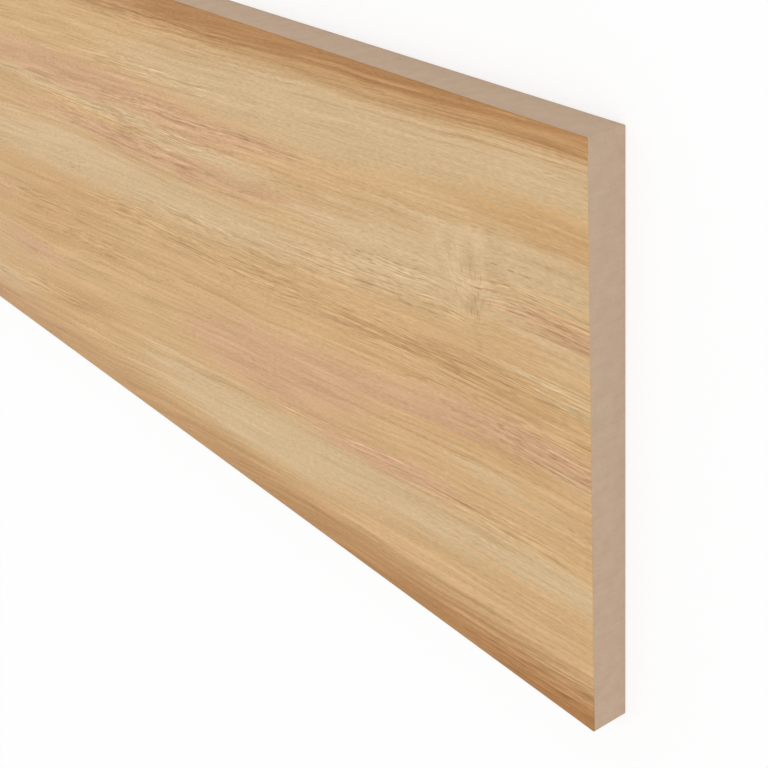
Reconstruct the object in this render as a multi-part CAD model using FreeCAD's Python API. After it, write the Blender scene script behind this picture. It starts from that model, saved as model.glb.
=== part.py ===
import FreeCAD, Part
import os

# Stair riser board: a sawn fibreboard core with a printed wood-grain foil pressed onto its show face.
# The board lies flat with the show face up. X runs along its length, Y across it, which is the
# height of the riser once it stands on the stair, and Z through its thickness. The origin is in
# the middle of the underside.

# Driving dimensions, in millimetres
board_length = 1300.0  # stock length, cut to the width of the stair when it is fitted
riser_height = 200.0  # from the bottom edge to the top edge
board_thickness = 14.0  # core and foil together
foil_thickness = 0.3  # printed foil, sawn flush with the core on all four sides
arris_radius = 0.4  # sanded easing of the four corners and of the edges round the back face

core_thickness = board_thickness - foil_thickness
edge_tolerance = 0.001  # for telling edges apart by where they lie


def sawn_blank(underside, thickness):
    # A square-edged sheet of the board's length and height, centred over the origin
    corner = FreeCAD.Vector(-board_length / 2, -riser_height / 2, underside)
    return Part.makeBox(board_length, riser_height, thickness, corner)


def corner_edges(sheet):
    # The four short edges that run through the thickness
    return [edge for edge in sheet.Edges if edge.Length - edge.BoundBox.ZLength < edge_tolerance]


def back_edges(sheet):
    # The four edges round the underside
    floor = sheet.BoundBox.ZMin + edge_tolerance
    return [edge for edge in sheet.Edges if edge.BoundBox.ZMax < floor]


def fibreboard_core():
    # Raw on its edges and back: only its arrises away from the foil are eased
    blank = sawn_blank(0.0, core_thickness)
    return blank.makeFillet(arris_radius, corner_edges(blank) + back_edges(blank))


def wood_grain_foil():
    # Lies on the core over its whole face and turns the same eased corners
    blank = sawn_blank(core_thickness, foil_thickness)
    return blank.makeFillet(arris_radius, corner_edges(blank))


os.makedirs("parts", exist_ok=True)
fibreboard_core().exportStep("parts/fibreboard_core.step")
wood_grain_foil().exportStep("parts/wood_grain_foil.step")
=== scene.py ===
import math
from functools import partial

import bpy
from mathutils import Matrix, Vector


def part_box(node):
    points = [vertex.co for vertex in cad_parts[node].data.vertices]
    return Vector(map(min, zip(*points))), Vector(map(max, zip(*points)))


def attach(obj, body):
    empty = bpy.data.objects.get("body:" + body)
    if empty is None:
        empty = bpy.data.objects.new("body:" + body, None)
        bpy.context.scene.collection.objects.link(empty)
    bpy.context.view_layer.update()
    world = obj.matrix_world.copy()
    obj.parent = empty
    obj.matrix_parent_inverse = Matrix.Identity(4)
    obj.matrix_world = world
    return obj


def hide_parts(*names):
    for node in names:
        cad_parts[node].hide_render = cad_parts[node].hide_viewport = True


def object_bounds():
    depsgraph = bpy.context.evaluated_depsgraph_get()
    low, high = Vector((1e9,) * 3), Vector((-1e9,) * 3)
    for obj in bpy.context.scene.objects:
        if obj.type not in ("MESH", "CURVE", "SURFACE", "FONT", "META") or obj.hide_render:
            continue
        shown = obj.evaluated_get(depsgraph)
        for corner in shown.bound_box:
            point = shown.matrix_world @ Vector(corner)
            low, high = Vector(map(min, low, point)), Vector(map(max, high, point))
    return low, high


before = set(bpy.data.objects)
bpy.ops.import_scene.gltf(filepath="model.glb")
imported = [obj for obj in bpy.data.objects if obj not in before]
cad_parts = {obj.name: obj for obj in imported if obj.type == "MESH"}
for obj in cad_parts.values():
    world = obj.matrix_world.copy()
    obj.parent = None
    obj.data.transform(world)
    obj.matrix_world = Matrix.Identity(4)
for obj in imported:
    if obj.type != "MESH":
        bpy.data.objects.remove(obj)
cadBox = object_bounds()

mm = 0.001               # scene units are metres
noiseMiddle = 0.5        # a noise node swings about this value
coreNode = "fibreboard_core"
foilNode = "wood_grain_foil"


def linear(hexColour):
    # sRGB hex, to the linear colour that sockets take
    parts = [int(hexColour[i:i + 2], 16) / 255 for i in (1, 3, 5)]
    return tuple(c / 12.92 if c <= 0.04045 else ((c + 0.055) / 1.055) ** 2.4 for c in parts) + (1.0,)


def put(tree, kind, inputs=None, **settings):
    # adds a node; an input takes a value, a socket, or a node whose first live output it reads,
    # and a list of these where it joins several
    node = tree.nodes.new(kind)
    for name, value in settings.items():
        setattr(node, name, value)
    for key, value in (inputs or {}).items():
        if isinstance(key, int):
            socket = node.inputs[key]
        else:
            socket = next(s for s in node.inputs if s.enabled and s.name == key)
        for source in value if isinstance(value, list) else [value]:
            if isinstance(source, bpy.types.Node):
                source = next(s for s in source.outputs if s.enabled)
            if isinstance(source, bpy.types.NodeSocket):
                tree.links.new(source, socket)
            else:
                socket.default_value = source
    return node


def emptyMaterial(name):
    # a material with no nodes yet, and the function that adds them
    material = bpy.data.materials.new(name)
    material.use_nodes = True
    material.node_tree.nodes.clear()
    return material, partial(put, material.node_tree)


def intoScene(name, data):
    made = bpy.data.objects.new(name, data)
    bpy.context.scene.collection.objects.link(made)
    return made


# The foil: a pressed sheet that keeps its grain lines on its points, for the embossing and the print

foil = {
    "columns": 301,                  # points along the board, about 4.3 mm apart
    "rows": 291,                     # points across it, about 0.7 mm apart
    "rimShare": 0.001,               # points this near to the rim, as a share of half the size, are on it
    "mergeGap": 0.001 * mm,          # points closer than this become one
    "cornerRadius": 0.4 * mm,        # rounding of its four corners, as on the core
    "arrisDrop": 0.08 * mm,          # how far its sawn rim is rubbed down
    "reliefDepth": 0.05 * mm,        # embossing, from its highest to its lowest
    "reliefSize": (75.0, 2.8, 2.0),  # mm along the grain, mm across it, octaves of finer relief
    "slopeTop": 0.03,                # rise of the grain lines along the board, at its top edge
    "slopeGain": 0.0004,             # and how much steeper they are for each mm below it
    "swayLength": 1800.0,            # mm, one full sway of the grain up and down
    "swayStart": 200.0,              # mm from the right end to where the lines are steepest
    # waves of the lines: mm along the board, mm across it, mm of wander
    "broadWave": (240.0, 55.0, 9.0),
    "fineWave": (80.0, 14.0, 1.5),
    "ripple": (24.0, 8.0, 1.1),
    "crotchCurl": (14.0, 8.0, 1.2),  # in the crotch figure only
    "waveOctaves": 1.0,              # octaves of finer waves in each
    # the small crotch figure, a V that opens upwards
    "crotchTip": (-52.0, 80.0),      # its foot: mm from the right end, mm below the top
    "crotchSpread": (1.45, 0.95),    # mm that it widens to the left and to the right for each mm upwards
    "crotchHeight": 52.0,            # mm
    "crotchBlunt": 0.15,             # share of its height below which it gets no narrower
    "crotchFoot": (-0.1, 0.3),       # shares of its height where it starts, and where it is full
    "crotchHead": (1.0, 0.4),        # and the same from its top down
    "crotchDip": 2.0,                # mm that the lines dip in it
}


def crotchFigure(add, along, below):
    # 1 along the middle of the V and 0 outside it
    tipAlong, tipBelow = foil["crotchTip"]
    spreadLeft, spreadRight = foil["crotchSpread"]
    tall = foil["crotchHeight"]
    side = add("ShaderNodeMath", {0: along, 1: tipAlong}, operation="SUBTRACT")
    toLeft = add("ShaderNodeMath", {0: side, 1: -1 / spreadLeft}, operation="MULTIPLY")
    toRight = add("ShaderNodeMath", {0: side, 1: 1 / spreadRight}, operation="MULTIPLY")
    side = add("ShaderNodeMath", {0: toLeft, 1: toRight}, operation="MAXIMUM")
    above = add("ShaderNodeMath", {0: tipBelow, 1: below}, operation="SUBTRACT")
    width = add("ShaderNodeMath", {0: above, 1: foil["crotchBlunt"] * tall}, operation="MAXIMUM")
    side = add("ShaderNodeMath", {0: side, 1: width}, operation="DIVIDE")
    crotch = add("ShaderNodeMapRange", {"Value": side, "From Min": 1.0, "From Max": 0.0},
                 interpolation_type="SMOOTHSTEP")
    for start, full in (foil["crotchFoot"], foil["crotchHead"]):
        fade = add("ShaderNodeMapRange",
                   {"Value": above, "From Min": start * tall, "From Max": full * tall},
                   interpolation_type="SMOOTHSTEP")
        crotch = add("ShaderNodeMath", {0: crotch, 1: fade}, operation="MULTIPLY")
    return crotch


def grainLines(add, given):
    # mm from the right end (negative to its left), grain line, and that line without the crotch figure
    place = add("ShaderNodeSeparateXYZ", {0: add("GeometryNodeInputPosition")}).outputs
    along = add("ShaderNodeMath", {0: given["Length"], 1: -0.5, 2: place["X"]}, operation="MULTIPLY_ADD")
    along = add("ShaderNodeMath", {0: along, 1: mm}, operation="DIVIDE")
    below = add("ShaderNodeMath", {0: given["Height"], 1: 0.5}, operation="MULTIPLY")
    below = add("ShaderNodeMath", {0: below, 1: place["Y"]}, operation="SUBTRACT")
    below = add("ShaderNodeMath", {0: below, 1: mm}, operation="DIVIDE")

    # slow sway along the board, steeper towards the bottom edge
    radiansPerMm = 2 * math.pi / foil["swayLength"]
    start = radiansPerMm * foil["swayStart"]
    sway = add("ShaderNodeMath", {0: along, 1: radiansPerMm, 2: start}, operation="MULTIPLY_ADD")
    sway = add("ShaderNodeMath", {0: sway}, operation="SINE")
    sway = add("ShaderNodeMath", {0: sway, 1: math.sin(start)}, operation="SUBTRACT")
    slope = add("ShaderNodeMath", {0: below, 1: foil["slopeGain"], 2: foil["slopeTop"]},
                operation="MULTIPLY_ADD")
    slope = add("ShaderNodeMath", {0: slope, 1: 1 / radiansPerMm}, operation="MULTIPLY")
    drift = add("ShaderNodeMath", {0: sway, 1: slope, 2: below}, operation="MULTIPLY_ADD")

    # waves of the lines, and their curl and dip in the crotch figure
    crotch = crotchFigure(add, along, below)
    flat = add("ShaderNodeCombineXYZ", {"X": along, "Y": below})
    for name, share in (("broadWave", 1.0), ("fineWave", 1.0), ("ripple", 1.0), ("crotchCurl", crotch)):
        longSize, wideSize, wander = foil[name]
        stretched = add("ShaderNodeVectorMath", {0: flat, 1: (1 / longSize, 1 / wideSize, 0)},
                        operation="MULTIPLY")
        wave = add("ShaderNodeTexNoise", {"Vector": stretched, "Scale": 1.0, "Detail": foil["waveOctaves"]},
                   noise_dimensions="2D")
        wave = add("ShaderNodeMath", {0: wave, 1: noiseMiddle}, operation="SUBTRACT")
        wave = add("ShaderNodeMath", {0: wave, 1: share}, operation="MULTIPLY")
        drift = add("ShaderNodeMath", {0: wave, 1: wander, 2: drift}, operation="MULTIPLY_ADD")
    line = add("ShaderNodeMath", {0: crotch, 1: -foil["crotchDip"], 2: drift}, operation="MULTIPLY_ADD")
    return add("ShaderNodeCombineXYZ", {"X": along, "Y": line, "Z": drift})


def spreadPoints(add, given):
    # outermost points lie one corner radius from the next, and corner points are pulled in to the arc
    place = add("ShaderNodeSeparateXYZ", {0: add("GeometryNodeInputPosition")}).outputs
    share, spread, onRim = {}, {}, {}
    for axis, size, count in (("X", "Length", "Columns"), ("Y", "Height", "Rows")):
        half = add("ShaderNodeMath", {0: given[size], 1: 0.5}, operation="MULTIPLY")
        share[axis] = add("ShaderNodeMath", {0: place[axis], 1: half}, operation="DIVIDE")
        reach = add("ShaderNodeMath", {0: share[axis]}, operation="ABSOLUTE")
        onRim[axis] = add("ShaderNodeMath", {0: reach, 1: 1.0, 2: foil["rimShare"]}, operation="COMPARE")
        # steps from rim to rim, and without the outermost two
        steps = add("ShaderNodeMath", {0: given[count], 1: 1.0}, operation="SUBTRACT")
        innerSteps = add("ShaderNodeMath", {0: steps, 1: 2.0}, operation="SUBTRACT")
        wider = add("ShaderNodeMath", {0: steps, 1: innerSteps}, operation="DIVIDE")
        inside = add("ShaderNodeMath", {0: half, 1: given["Corner radius"]}, operation="SUBTRACT")
        inside = add("ShaderNodeMath", {0: inside, 1: wider}, operation="MULTIPLY")
        reach = add("ShaderNodeMix", {"Factor": onRim[axis], "A": inside, "B": half}, data_type="FLOAT")
        spread[axis] = add("ShaderNodeMath", {0: share[axis], 1: reach}, operation="MULTIPLY")
    corner = add("ShaderNodeMath", {0: onRim["X"], 1: onRim["Y"]}, operation="MULTIPLY")
    arcMiddle = math.sqrt(0.5) - 1  # from the sharp corner to the middle of its arc, in radii
    pull = add("ShaderNodeMath", {0: given["Corner radius"], 1: arcMiddle}, operation="MULTIPLY")
    pull = add("ShaderNodeMath", {0: corner, 1: pull}, operation="MULTIPLY")
    for axis in spread:
        spread[axis] = add("ShaderNodeMath", {0: share[axis], 1: pull, 2: spread[axis]},
                           operation="MULTIPLY_ADD")
    return add("ShaderNodeCombineXYZ", spread)


def embossSheet(add, given, sheet, grain, rim):
    # embossing along the lines, and the open rim rubbed down a little
    longSize, wideSize, octaves = foil["reliefSize"]
    stretched = add("ShaderNodeVectorMath", {0: grain, 1: (1 / longSize, 0, 1 / wideSize)},
                    operation="MULTIPLY")
    relief = add("ShaderNodeTexNoise", {"Vector": stretched, "Scale": 1.0, "Detail": octaves})
    sunk = add("ShaderNodeMath", {0: relief, 1: given["Relief depth"]}, operation="MULTIPLY")
    rimDrop = add("GeometryNodeSwitch", {"Switch": rim, "False": 0.0, "True": given["Rim drop"]},
                  input_type="FLOAT")
    sunk = add("ShaderNodeMath", {0: sunk, 1: rimDrop}, operation="ADD")
    lift = add("ShaderNodeMath", {0: given["Top"], 1: sunk}, operation="SUBTRACT")
    lift = add("ShaderNodeCombineXYZ", {"Z": lift})
    raised = add("GeometryNodeSetPosition", {"Geometry": sheet, "Offset": lift})
    return add("GeometryNodeSetShadeSmooth", {"Geometry": raised, "Shade Smooth": True})


def closeSheet(add, given, raised, rim):
    # sawn sides down to the core, and the glued underside
    walls = add("GeometryNodeExtrudeMesh", {"Mesh": raised, "Selection": rim, "Offset Scale": 0.0},
                mode="EDGES")
    foot = add("ShaderNodeSeparateXYZ", {0: add("GeometryNodeInputPosition")}).outputs
    foot = add("ShaderNodeCombineXYZ", {"X": foot["X"], "Y": foot["Y"], "Z": given["Underside"]})
    sides = add("GeometryNodeSetPosition",
                {"Geometry": walls, "Selection": walls.outputs["Top"], "Position": foot})
    sides = add("GeometryNodeSetShadeSmooth",
                {"Geometry": sides, "Selection": walls.outputs["Side"], "Shade Smooth": False})
    loop = add("GeometryNodeMeshToCurve", {"Mesh": sides, "Selection": walls.outputs["Top"]})
    back = add("GeometryNodeFillCurve", {"Curve": loop})
    down = add("ShaderNodeCombineXYZ", {"Z": given["Underside"]})
    back = add("GeometryNodeSetPosition", {"Geometry": back, "Offset": down})
    back = add("GeometryNodeFlipFaces", {"Mesh": back})
    back = add("GeometryNodeSetShadeSmooth", {"Geometry": back, "Shade Smooth": False})
    whole = add("GeometryNodeJoinGeometry", {"Geometry": [sides, back]})
    return add("GeometryNodeMergeByDistance", {"Geometry": whole, "Distance": foil["mergeGap"]})


def foilTree(settings):
    tree = bpy.data.node_groups.new("pressedFoil", "GeometryNodeTree")
    add = partial(put, tree)
    tree.interface.new_socket("Geometry", in_out="OUTPUT", socket_type="NodeSocketGeometry")
    kinds = {float: "NodeSocketFloat", int: "NodeSocketInt", bpy.types.Material: "NodeSocketMaterial"}
    sockets = {name: tree.interface.new_socket(name, in_out="INPUT", socket_type=kinds[type(value)])
               for name, value in settings.items()}
    given = add("NodeGroupInput").outputs

    sheet = add("GeometryNodeMeshGrid", {"Size X": given["Length"], "Size Y": given["Height"],
                                         "Vertices X": given["Columns"], "Vertices Y": given["Rows"]})
    sheet = add("GeometryNodeSetPosition", {"Geometry": sheet, "Position": spreadPoints(add, given)})
    grain = grainLines(add, given)
    sheet = add("GeometryNodeStoreNamedAttribute", {"Geometry": sheet, "Name": "grainMap", "Value": grain},
                data_type="FLOAT_VECTOR", domain="POINT")
    neighbours = add("GeometryNodeInputMeshEdgeNeighbors")
    rim = add("FunctionNodeCompare", {"A": neighbours, "B": 1}, data_type="INT", operation="EQUAL")
    raised = embossSheet(add, given, sheet, grain, rim)
    whole = closeSheet(add, given, raised, rim)
    whole = add("GeometryNodeRealizeInstances", {"Geometry": whole})
    whole = add("GeometryNodeSetMaterial", {"Geometry": whole, "Material": given["Print"]})
    add("NodeGroupOutput", {"Geometry": whole})
    return tree, sockets


def makeFoil(printMaterial):
    low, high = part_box(foilNode)
    settings = {
        "Length": high.x - low.x,
        "Height": high.y - low.y,
        "Underside": low.z,
        "Top": high.z,
        "Columns": foil["columns"],
        "Rows": foil["rows"],
        "Corner radius": foil["cornerRadius"],
        "Relief depth": foil["reliefDepth"],
        "Rim drop": foil["arrisDrop"],
        "Print": printMaterial,
    }
    tree, sockets = foilTree(settings)
    piece = intoScene("embossedFoil", bpy.data.meshes.new("embossedFoil"))
    modifier = piece.modifiers.new("pressedFoil", "NODES")
    modifier.node_group = tree
    for name, value in settings.items():
        modifier[sockets[name].identifier] = value
    depsgraph = bpy.context.evaluated_depsgraph_get()
    mesh = bpy.data.meshes.new_from_object(piece.evaluated_get(depsgraph), preserve_all_data_layers=True,
                                           depsgraph=depsgraph)
    piece.modifiers.remove(modifier)
    piece.data = mesh
    mesh.name = "embossedFoil"
    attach(piece, "root")
    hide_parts(foilNode)
    print("foil:", len(mesh.polygons), "faces")


# The print on the foil

wood = {
    "golden": "#CFA876",
    "tan": "#C9A06C",
    "cream": "#D1B286",
    "rosy": "#CDA27A",
    "toasted": "#985A06",
    "dark": "#94693C",
    # figure of the print: mm along the grain, mm across it, octaves of finer figure, their strength
    "figure": {
        "bands": (260.0, 12.0, 2.0, 0.6),       # broad lighter and darker bands
        "streaks": (130.0, 3.0, 3.0, 0.9),
        "fibres": (70.0, 1.2, 2.0, 0.85),       # down to fibres 18 mm long and 0.3 mm wide
        "lines": (60.0, 3.0, 1.0, 0.5),         # thin dark growth lines, where this figure is about 0
        "clusters": (70.0, 8.0, 2.0, 0.6),      # where pores gather
        "mottle": (10.0, 7.0, 1.0, 0.5),        # cloudy patches in the crotch figure
        "creamZones": (260.0, 20.0, 2.0, 0.5),  # zones beyond the near end
        "rosyZones": (200.0, 14.0, 2.0, 0.5),
        "hatch": (60.0, 0.65, 1.0, 0.6),        # crisp light and dark lines, in bands along the grain
        "flecks": (12.0, 0.45, 1.0, 0.5),       # and short dashes among them
        "specks": (3.0, 0.5, 1.0, 0.6),         # short ticks all over
    },
    "figureStep": (7.3, 3.1),     # cells from one figure to the next, so that none lies on another
    "shade": {"bands": 0.16, "streaks": 0.6, "fibres": 0.38},  # lighter and darker by this much
    "hatchShade": {"hatch": 0.8, "flecks": 0.85},  # and in the hatched bands
    "speckShade": 0.35,           # and by the ticks
    "warmth": (0.85, 1.0, 1.35),  # power of that shade on red, green and blue: dark streaks are warmer
    "creamCalm": 0.35,            # share of it that is lost in cream zones
    "lineEdge": (0.045, 0.01),    # height of the figure at the edge of a growth line, and where it is full
    "lineDepth": (0.05, 0.26),    # growth lines elsewhere, and where the figure is strong
    "pores": (8.0, 0.9),          # mm, a cell of this size holds one short dash
    "dashEdge": (0.34, 0.12),     # cells from the middle of a dash to its edge, and to where it is full
    "poreDepth": 0.4,
    "poreCrowd": 1.2,             # how much of that depth the pored patches add
    "gather": (0.02, 0.2),        # height of the clusters where pores start, and where they are full
    "crotchCalm": 0.85,           # share of the fibres' shade that is lost inside the crotch figure
    "crotchPale": 0.06,           # how much paler its inside is
    "crotchMottle": 0.7,          # and how cloudy
    "fan": (7.0, 22.0, 9.0),      # short dashes that fan out in it: mm for each, dashes per radian,
                                  # mm from its foot down to where their lines meet
    "fanFade": (22.0, 50.0),      # mm from there to where they start to fade, and to where they end
    "fanCrowd": 1.4,              # how much of the pores' depth they have
    # toasted long edges: mm in from the edge and strength, each at the right end and further along,
    # and mm along the board to where the second pair holds
    "toast": {"top": (13.0, 20.0, 0.6, 0.66, 180.0), "foot": (25.0, 24.0, 0.78, 0.33, 320.0)},
    "toastCore": 0.1,             # share of that width that is toasted in full
    "toastRag": {"bands": 6.0, "streaks": 9.0, "fibres": 7.0},  # mm that these bands tongue in and out
    "bumpHeight": 0.04 * mm,
    "roughness": 0.55,
    "gloss": 0.35,
    # zones: frayed patches near the right end, and plain zones beyond it
    "fray": (150.0, 16.0, 6.0),   # mm along the grain, mm across it in streaks, mm across it in fibres
    "hatchFray": 0.45,            # share of that on the hatched bands
    "patchEdge": (1.45, 0.5),     # where a patch starts and where it is full, in its half sizes
    "nearEnd": (-380.0, -470.0),  # mm, patches give way to plain zones between these
    "plainZones": {"tan": "bands", "cream": "creamZones", "rosy": "rosyZones", "lined": "bands",
                   "hatched": "clusters"},  # figure that shapes each
    "plainEdge": (0.0, 0.18),     # height of that figure where a zone starts, and where it is full
    # patches: mm from the right end, grain line, half length, half width
    "patches": {
        "tan": (
            (-60, 88, 80, 5), (-28, 32, 45, 6), (-38, 58, 7, 2.5), (-408, 12, 20, 6), (-400, 39, 25, 7),
            (-150, 10, 25, 4), (-65, 113, 45, 5), (-110, 97, 25, 4), (-375, 100, 75, 11), (-355, 89, 50, 6),
            (-370, 136, 65, 12), (-350, 81, 90, 4),
        ),
        "cream": (
            (-150, 20, 115, 13), (-35, 18, 90, 8), (-40, 46, 58, 9), (-88, 57, 56, 14), (-285, 68, 165, 10),
            (-215, 47, 55, 3.5), (-320, 42, 90, 3), (-170, 151, 105, 11), (-240, 143, 40, 6),
            (-190, 159, 50, 6), (-8, 80, 12, 5), (-8, 67, 12, 5), (-8, 108, 10, 4), (-30, 151, 60, 6),
            (-75, 155, 30, 5), (-45, 124, 12, 4),
        ),
        "rosy": (
            (-330, 34, 95, 7), (-215, 38, 65, 4), (-250, 53, 120, 3.5), (-20, 62, 14, 6),
            (-180, 120, 60, 15), (-110, 110, 60, 6), (-30, 104, 50, 6), (-105, 139, 45, 4.5),
            (-400, 116, 30, 4),
        ),
        "pored": (
            (-28, 60, 22, 9), (-34, 47, 10, 6), (-76, 60, 14, 9), (-105, 65, 40, 6), (-28, 106, 40, 6),
        ),
        "lined": (
            (-120, 87, 200, 5), (-60, 94, 70, 9), (-30, 104, 60, 8), (-26, 59, 20, 5), (-330, 42, 120, 9),
            (-250, 53, 80, 4),
        ),
        "hatched": (
            (-240, 2, 60, 4), (-240, 24, 65, 3), (-215, 37, 85, 3), (-270, 45, 100, 3.5), (-262, 51, 45, 4),
            (-325, 51, 22, 3), (-82, 61, 24, 4), (-20, 57, 30, 6), (-110, 69, 70, 4), (-190, 75, 90, 4),
            (-22, 82, 35, 4), (-285, 82, 35, 4), (-150, 86, 130, 4.5), (-85, 90, 35, 5), (-385, 93, 45, 3),
            (-330, 102, 45, 3), (-12, 102, 30, 10), (-392, 119, 18, 4), (-375, 135, 60, 4),
            (-125, 137, 55, 3), (-50, 141, 45, 4), (-25, 188, 40, 8),
        ),
    },
}


def figureLayers(add, grain):
    # stretched noise about 0, one layer for each size of figure
    stepLong, stepWide = wood["figureStep"]
    layer = {}
    for turn, (name, (longSize, wideSize, octaves, strength)) in enumerate(wood["figure"].items()):
        step = (turn * stepLong, turn * stepWide, 0)
        stretched = add("ShaderNodeVectorMath", {0: grain, 1: (1 / longSize, 1 / wideSize, 0), 2: step},
                        operation="MULTIPLY_ADD")
        noise = add("ShaderNodeTexNoise",
                    {"Vector": stretched, "Scale": 1.0, "Detail": octaves, "Roughness": strength},
                    noise_dimensions="2D")
        layer[name] = add("ShaderNodeMath", {0: noise, 1: noiseMiddle}, operation="SUBTRACT")
    return layer


def printZones(add, layer, along, drift):
    # patches with frayed edges near the right end
    frayLong, frayWide, frayFine = wood["fray"]
    frayedAlong = add("ShaderNodeMath", {0: layer["streaks"], 1: frayLong, 2: along},
                      operation="MULTIPLY_ADD")
    frayedLine = add("ShaderNodeMath", {0: layer["streaks"], 1: frayWide, 2: drift},
                     operation="MULTIPLY_ADD")
    frayedLine = add("ShaderNodeMath", {0: layer["fibres"], 1: frayFine, 2: frayedLine},
                     operation="MULTIPLY_ADD")
    frayed = add("ShaderNodeCombineXYZ", {"X": frayedAlong, "Y": frayedLine})
    plain = add("ShaderNodeCombineXYZ", {"X": along, "Y": drift})
    partFrayed = add("ShaderNodeMix", {"Factor": wood["hatchFray"], "A": plain, "B": frayed},
                     data_type="VECTOR")
    start, full = wood["patchEdge"]
    zone = {}
    for name, places in wood["patches"].items():
        where = partFrayed if name == "hatched" else frayed
        for centre, lineAt, halfLong, halfWide in places:
            off = add("ShaderNodeVectorMath", {0: where, 1: (centre, lineAt, 0)}, operation="SUBTRACT")
            off = add("ShaderNodeVectorMath", {0: off, 1: (1 / halfLong, 1 / halfWide, 0)},
                      operation="MULTIPLY")
            off = add("ShaderNodeVectorMath", {0: off}, operation="LENGTH").outputs["Value"]
            soft = add("ShaderNodeMapRange", {"Value": off, "From Min": start, "From Max": full},
                       interpolation_type="SMOOTHSTEP")
            zone[name] = add("ShaderNodeMath", {0: zone.get(name, 0.0), 1: soft}, operation="MAXIMUM")

    # plain zones beyond
    nearFrom, nearTo = wood["nearEnd"]
    beyond = add("ShaderNodeMapRange", {"Value": along, "From Min": nearFrom, "From Max": nearTo},
                 interpolation_type="SMOOTHSTEP")
    start, full = wood["plainEdge"]
    for name, figure in wood["plainZones"].items():
        far = add("ShaderNodeMapRange", {"Value": layer[figure], "From Min": start, "From Max": full},
                  interpolation_type="SMOOTHSTEP")
        far = add("ShaderNodeMath", {0: far, 1: beyond}, operation="MULTIPLY")
        zone[name] = add("ShaderNodeMath", {0: zone[name], 1: far}, operation="MAXIMUM")
    return zone


def toastEdges(add, colour, layer, along, across):
    # long edges toasted in tongues along the grain
    low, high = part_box(foilNode)
    inward = {"top": (-1.0, high.y), "foot": (1.0, -low.y)}  # sign and offset of the way in from it
    ragged = 0.0
    for name, tongue in wood["toastRag"].items():
        ragged = add("ShaderNodeMath", {0: layer[name], 1: tongue * mm, 2: ragged},
                     operation="MULTIPLY_ADD")
    for edge, (nearWidth, farWidth, nearStrength, farStrength, reach) in wood["toast"].items():
        sign, offset = inward[edge]
        depth = add("ShaderNodeMath", {0: across, 1: sign, 2: offset}, operation="MULTIPLY_ADD")
        depth = add("ShaderNodeMath", {0: depth, 1: ragged}, operation="ADD")
        width = add("ShaderNodeMapRange", {"Value": along, "From Max": -reach,
                                           "To Min": nearWidth * mm, "To Max": farWidth * mm})
        strength = add("ShaderNodeMapRange", {"Value": along, "From Max": -reach,
                                              "To Min": nearStrength, "To Max": farStrength})
        depth = add("ShaderNodeMath", {0: depth, 1: width}, operation="DIVIDE")
        toast = add("ShaderNodeMapRange", {"Value": depth, "From Min": 1.0, "From Max": wood["toastCore"],
                                           "To Max": strength}, interpolation_type="SMOOTHSTEP")
        colour = add("ShaderNodeMix", {"Factor": toast, "A": colour, "B": linear(wood["toasted"])},
                     data_type="RGBA")
    return colour


def printShade(add, layer, zone, crotch):
    # bands, streaks and fibres lighten and darken the print, less so in cream zones and the crotch figure
    shade = 0.0
    for name, amount in wood["shade"].items():
        shade = add("ShaderNodeMath", {0: layer[name], 1: amount, 2: shade}, operation="MULTIPLY_ADD")
    for calmed, share in ((crotch, wood["crotchCalm"]), (zone["cream"], wood["creamCalm"])):
        left = add("ShaderNodeMath", {0: calmed, 1: -share, 2: 1.0}, operation="MULTIPLY_ADD")
        shade = add("ShaderNodeMath", {0: shade, 1: left}, operation="MULTIPLY")
    for name, amount in wood["hatchShade"].items():
        hatch = add("ShaderNodeMath", {0: layer[name], 1: amount}, operation="MULTIPLY")
        shade = add("ShaderNodeMath", {0: hatch, 1: zone["hatched"], 2: shade}, operation="MULTIPLY_ADD")
    shade = add("ShaderNodeMath", {0: layer["specks"], 1: wood["speckShade"], 2: shade},
                operation="MULTIPLY_ADD")
    shade = add("ShaderNodeMath", {0: shade, 1: 1.0}, operation="ADD")
    cloud = add("ShaderNodeMath", {0: layer["mottle"], 1: wood["crotchMottle"], 2: wood["crotchPale"]},
                operation="MULTIPLY_ADD")
    shade = add("ShaderNodeMath", {0: crotch, 1: cloud, 2: shade}, operation="MULTIPLY_ADD")
    tint = [add("ShaderNodeMath", {0: shade, 1: power}, operation="POWER") for power in wood["warmth"]]
    return add("ShaderNodeCombineXYZ", dict(enumerate(tint)))


def growthLines(add, layer, zone):
    faint, strong = wood["lineDepth"]
    depth = add("ShaderNodeMapRange", {"Value": zone["lined"], "To Min": faint, "To Max": strong})
    off = add("ShaderNodeMath", {0: layer["lines"]}, operation="ABSOLUTE")
    edge, full = wood["lineEdge"]
    return add("ShaderNodeMapRange", {"Value": off, "From Min": edge, "From Max": full, "To Max": depth},
               interpolation_type="SMOOTHSTEP")


def poreCells(add, layer, zone, grain):
    # cells stretched along the grain, and how strong the dash in each is
    longSize, wideSize = wood["pores"]
    cells = add("ShaderNodeVectorMath", {0: grain, 1: (1 / longSize, 1 / wideSize, 0)},
                operation="MULTIPLY")
    start, full = wood["gather"]
    strength = add("ShaderNodeMapRange", {"Value": layer["clusters"], "From Min": start, "From Max": full})
    strength = add("ShaderNodeMath", {0: zone["pored"], 1: wood["poreCrowd"], 2: strength},
                   operation="MULTIPLY_ADD")
    return cells, strength


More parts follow.
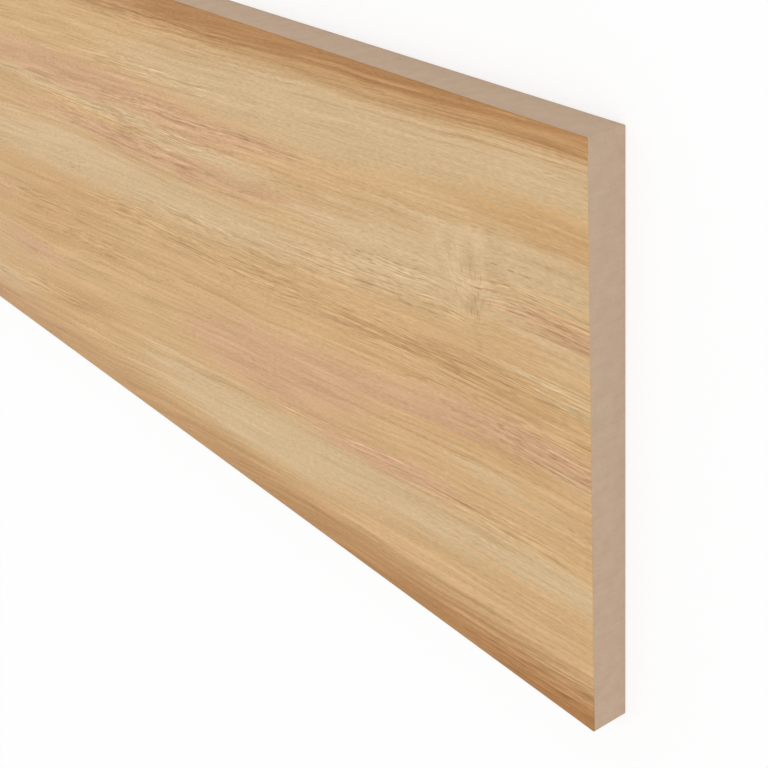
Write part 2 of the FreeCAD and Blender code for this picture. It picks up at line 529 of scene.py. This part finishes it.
def fanCells(add, crotch, along, across):
    # cells that fan out from below the foot of the crotch figure, and how strong the dash in each is
    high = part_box(foilNode)[1]
    dashLong, dashesPerRadian, meetBelow = wood["fan"]
    tipAlong, tipBelow = foil["crotchTip"]
    meetAt = tipBelow + meetBelow - high.y / mm
    side = add("ShaderNodeMath", {0: along, 1: tipAlong}, operation="SUBTRACT")
    above = add("ShaderNodeMath", {0: across, 1: 1 / mm, 2: meetAt}, operation="MULTIPLY_ADD")
    aim = add("ShaderNodeMath", {0: side, 1: above}, operation="ARCTAN2")
    reach = add("ShaderNodeCombineXYZ", {"X": side, "Y": above})
    reach = add("ShaderNodeVectorMath", {0: reach}, operation="LENGTH").outputs["Value"]
    cells = add("ShaderNodeCombineXYZ", {"X": reach, "Y": aim})
    cells = add("ShaderNodeVectorMath", {0: cells, 1: (1 / dashLong, dashesPerRadian, 0)},
                operation="MULTIPLY")
    fadeFrom, fadeTo = wood["fanFade"]
    strength = add("ShaderNodeMapRange", {"Value": reach, "From Min": fadeTo, "From Max": fadeFrom,
                                          "To Max": wood["fanCrowd"]})
    strength = add("ShaderNodeMath", {0: crotch, 1: strength}, operation="MULTIPLY")
    return cells, strength


def shortDashes(add, *kinds):
    # one short dash in each cell, some darker than others by chance
    edge, full = wood["dashEdge"]
    dashes = 0.0
    for cells, strength in kinds:
        spots = add("ShaderNodeTexVoronoi", {"Vector": cells, "Scale": 1.0}, voronoi_dimensions="2D")
        away = spots.outputs["Distance"]
        dash = add("ShaderNodeMapRange", {"Value": away, "From Min": edge, "From Max": full},
                   interpolation_type="SMOOTHSTEP")
        chance = add("ShaderNodeSeparateXYZ", {0: spots.outputs["Color"]})
        dash = add("ShaderNodeMath", {0: dash, 1: chance}, operation="MULTIPLY")
        dash = add("ShaderNodeMath", {0: dash, 1: strength}, operation="MULTIPLY")
        dashes = add("ShaderNodeMath", {0: dashes, 1: dash}, operation="MAXIMUM")
    return dashes


def printedFoil():
    # melamine foil with a printed light wood grain, pressed on a grained plate: soft cream, golden, tan
    # and rosy zones along the grain, fine fibres, hatch lines and ticks, growth lines and short dark pores,
    # long edges toasted darker, under a satin skin
    material, add = emptyMaterial("melamine foil, printed wood grain")
    grain = add("ShaderNodeAttribute", attribute_name="grainMap").outputs["Vector"]
    along, line, drift = add("ShaderNodeSeparateXYZ", {0: grain}).outputs
    place = add("ShaderNodeTexCoord").outputs["Object"]
    across = add("ShaderNodeSeparateXYZ", {0: place}).outputs["Y"]
    crotch = add("ShaderNodeMath", {0: drift, 1: line}, operation="SUBTRACT")
    crotch = add("ShaderNodeMath", {0: crotch, 1: foil["crotchDip"]}, operation="DIVIDE")
    layer = figureLayers(add, grain)
    zone = printZones(add, layer, along, drift)

    colour = linear(wood["golden"])
    for name in ("tan", "cream", "rosy"):
        colour = add("ShaderNodeMix", {"Factor": zone[name], "A": colour, "B": linear(wood[name])},
                     data_type="RGBA")
    colour = toastEdges(add, colour, layer, along, across)
    tint = printShade(add, layer, zone, crotch)
    colour = add("ShaderNodeVectorMath", {0: colour, 1: tint}, operation="MULTIPLY")

    # growth lines and pores darken it
    pores = shortDashes(add, poreCells(add, layer, zone, grain), fanCells(add, crotch, along, across))
    poreTone = add("ShaderNodeMath", {0: pores, 1: wood["poreDepth"]}, operation="MULTIPLY")
    for tone in (growthLines(add, layer, zone), poreTone):
        colour = add("ShaderNodeMix", {"Factor": tone, "A": colour, "B": linear(wood["dark"])},
                     data_type="RGBA")

    relief = add("ShaderNodeMath", {0: layer["fibres"], 1: pores}, operation="SUBTRACT")
    bump = add("ShaderNodeBump", {"Height": relief, "Distance": wood["bumpHeight"], "Strength": 1.0})
    skin = add("ShaderNodeBsdfPrincipled", {"Base Color": colour, "Roughness": wood["roughness"],
                                            "Specular IOR Level": wood["gloss"], "Normal": bump})
    add("ShaderNodeOutputMaterial", {"Surface": skin})
    return material


# The core

fibreboard = {
    "body": "#C1A68D",
    "pale": "#C6AC93",
    "dark": "#A88C70",
    "clump": 5.0,                 # mm, soft clouds of fibre bundles
    "sawMark": (1.6, 60.0),       # mm along an edge, mm through the board
    "softOctaves": 1.0,           # octaves of finer figure in both
    "softRange": (0.3, 0.7),      # heights of both between which their shade turns
    "markShade": (0.985, 1.015),  # the saw marks darken and lighten by this
    "fibre": (0.7, 2.0, 0.8),     # mm, octaves of finer fibres, their strength: about twice as coarse as real
    "speckRange": (0.55, 0.72),   # height of the fibres where a dark speck starts, and where it is full
    "speckDepth": 0.35,
    "bumpHeight": 0.05 * mm,
    "roughness": 0.85,
    "gloss": 0.3,
}


def sawnFibreboard():
    # raw medium-density fibreboard, sawn on its edges and sanded on its back: flat, dusty pinkish brown
    # with fine fibre specks and faint saw marks across the edges
    material, add = emptyMaterial("raw fibreboard, sawn and sanded")
    place = add("ShaderNodeTexCoord").outputs["Object"]
    softOctaves = fibreboard["softOctaves"]
    clump = add("ShaderNodeTexNoise",
                {"Vector": place, "Scale": 1 / (fibreboard["clump"] * mm), "Detail": softOctaves})
    fibreSize, octaves, strength = fibreboard["fibre"]
    fibre = add("ShaderNodeTexNoise", {"Vector": place, "Scale": 1 / (fibreSize * mm), "Detail": octaves,
                                       "Roughness": strength})
    alongEdge, throughBoard = (1 / (size * mm) for size in fibreboard["sawMark"])
    marks = add("ShaderNodeVectorMath", {0: place, 1: (alongEdge, alongEdge, throughBoard)},
                operation="MULTIPLY")
    marks = add("ShaderNodeTexNoise", {"Vector": marks, "Scale": 1.0, "Detail": softOctaves})

    low, high = fibreboard["softRange"]
    tone = add("ShaderNodeMapRange", {"Value": clump, "From Min": low, "From Max": high})
    body, pale, dark = (linear(fibreboard[name]) for name in ("body", "pale", "dark"))
    colour = add("ShaderNodeMix", {"Factor": tone, "A": body, "B": pale}, data_type="RGBA")
    start, full = fibreboard["speckRange"]
    speck = add("ShaderNodeMapRange", {"Value": fibre, "From Min": start, "From Max": full,
                                       "To Max": fibreboard["speckDepth"]})
    colour = add("ShaderNodeMix", {"Factor": speck, "A": colour, "B": dark}, data_type="RGBA")
    darker, lighter = fibreboard["markShade"]
    shade = add("ShaderNodeMapRange", {"Value": marks, "From Min": low, "From Max": high,
                                       "To Min": darker, "To Max": lighter})
    colour = add("ShaderNodeVectorMath", {0: colour, "Scale": shade}, operation="SCALE")

    relief = add("ShaderNodeMath", {0: fibre, 1: marks}, operation="ADD")
    bump = add("ShaderNodeBump", {"Height": relief, "Distance": fibreboard["bumpHeight"], "Strength": 1.0})
    skin = add("ShaderNodeBsdfPrincipled", {"Base Color": colour, "Roughness": fibreboard["roughness"],
                                            "Specular IOR Level": fibreboard["gloss"], "Normal": bump})
    add("ShaderNodeOutputMaterial", {"Surface": skin})
    return material


def finishCore():
    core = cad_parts[coreNode]
    core.data.materials.clear()
    core.data.materials.append(sawnFibreboard())
    print("core: raw fibreboard on", len(core.data.polygons), "faces")


# The studio: a white sweep, an even sky and one broad soft lamp

studio = {
    "white": "#FFFFFF",      # sweep and sky
    "floorSize": 12.0,       # m
    "floorGlow": 0.65,       # share of the floor that is white to the camera whatever falls on it
    "sky": 0.65,             # even light from all round
    "lamp": 1.1,             # broad soft lamp
    "lampAngle": 55.0,       # degrees across, so that its shadows are soft
    "lampFrom": (0.38, 0.14, 1.0),
}


def whiteToCamera(add):
    # camera, mirror and glass rays see plain white
    rays = add("ShaderNodeLightPath").outputs
    seen = add("ShaderNodeMath", {0: rays["Is Camera Ray"], 1: rays["Is Glossy Ray"]}, operation="MAXIMUM")
    return add("ShaderNodeMath", {0: seen, 1: rays["Is Transmission Ray"]}, operation="MAXIMUM")


def makeFloor():
    # plain paper: matt and white
    material, add = emptyMaterial("white paper sweep")
    glow = add("ShaderNodeMath", {0: whiteToCamera(add), 1: studio["floorGlow"]}, operation="MULTIPLY")
    paper = add("ShaderNodeBsdfDiffuse", {"Color": linear(studio["white"])})
    white = add("ShaderNodeEmission", {"Color": linear(studio["white"]), "Strength": 1.0})
    mixed = add("ShaderNodeMixShader", {0: glow, 1: paper, 2: white})
    add("ShaderNodeOutputMaterial", {"Surface": mixed})
    half = studio["floorSize"] / 2
    corners = [(-half, -half, 0), (half, -half, 0), (half, half, 0), (-half, half, 0)]
    mesh = bpy.data.meshes.new("floor")
    mesh.from_pydata(corners, [], [(0, 1, 2, 3)])
    mesh.materials.append(material)
    intoScene("floor", mesh)


def makeLight():
    world = bpy.data.worlds.new("sky")
    world.use_nodes = True
    world.node_tree.nodes.clear()
    add = partial(put, world.node_tree)
    strength = add("ShaderNodeMix", {"Factor": whiteToCamera(add), "A": studio["sky"], "B": 1.0},
                   data_type="FLOAT")
    sky = add("ShaderNodeBackground", {"Color": linear(studio["white"]), "Strength": strength})
    add("ShaderNodeOutputWorld", {"Surface": sky})
    bpy.context.scene.world = world
    data = bpy.data.lights.new("softLamp", "SUN")
    data.energy = studio["lamp"]
    data.angle = math.radians(studio["lampAngle"])
    lamp = intoScene("softLamp", data)
    lamp.rotation_euler = Vector(studio["lampFrom"]).to_track_quat("Z", "Y").to_euler()


# The camera: close to the right end, looking down along the face, turned so that the top edge is up

view = {
    "eye": (0.2891, 0.1392, 0.2654),  # m, from the face's top right corner
    "aim": (-0.1036, -0.1133, 0.0),   # m, from the same corner
    "up": (-0.3424, 0.8796, -0.3303),
    "lens": 73.35,                    # mm
    "sensor": 36.0,                   # mm
    "nearest": 0.01,                  # m, nothing nearer is drawn
}


def makeCamera():
    corner = cadBox[1]
    eye = corner + Vector(view["eye"])
    back = (eye - corner - Vector(view["aim"])).normalized()
    right = Vector(view["up"]).cross(back).normalized()
    turn = Matrix((right, back.cross(right), back)).transposed().to_4x4()
    data = bpy.data.cameras.new("camera")
    data.sensor_width = view["sensor"]
    data.lens = view["lens"]
    data.clip_start = view["nearest"]
    camera = intoScene("camera", data)
    camera.matrix_world = Matrix.Translation(eye) @ turn
    bpy.context.scene.camera = camera


finishCore()
makeFoil(printedFoil())
makeFloor()
makeLight()
makeCamera()
bpy.context.scene.view_settings.view_transform = "Standard"
print("studio: floor, sky, lamp and camera set")
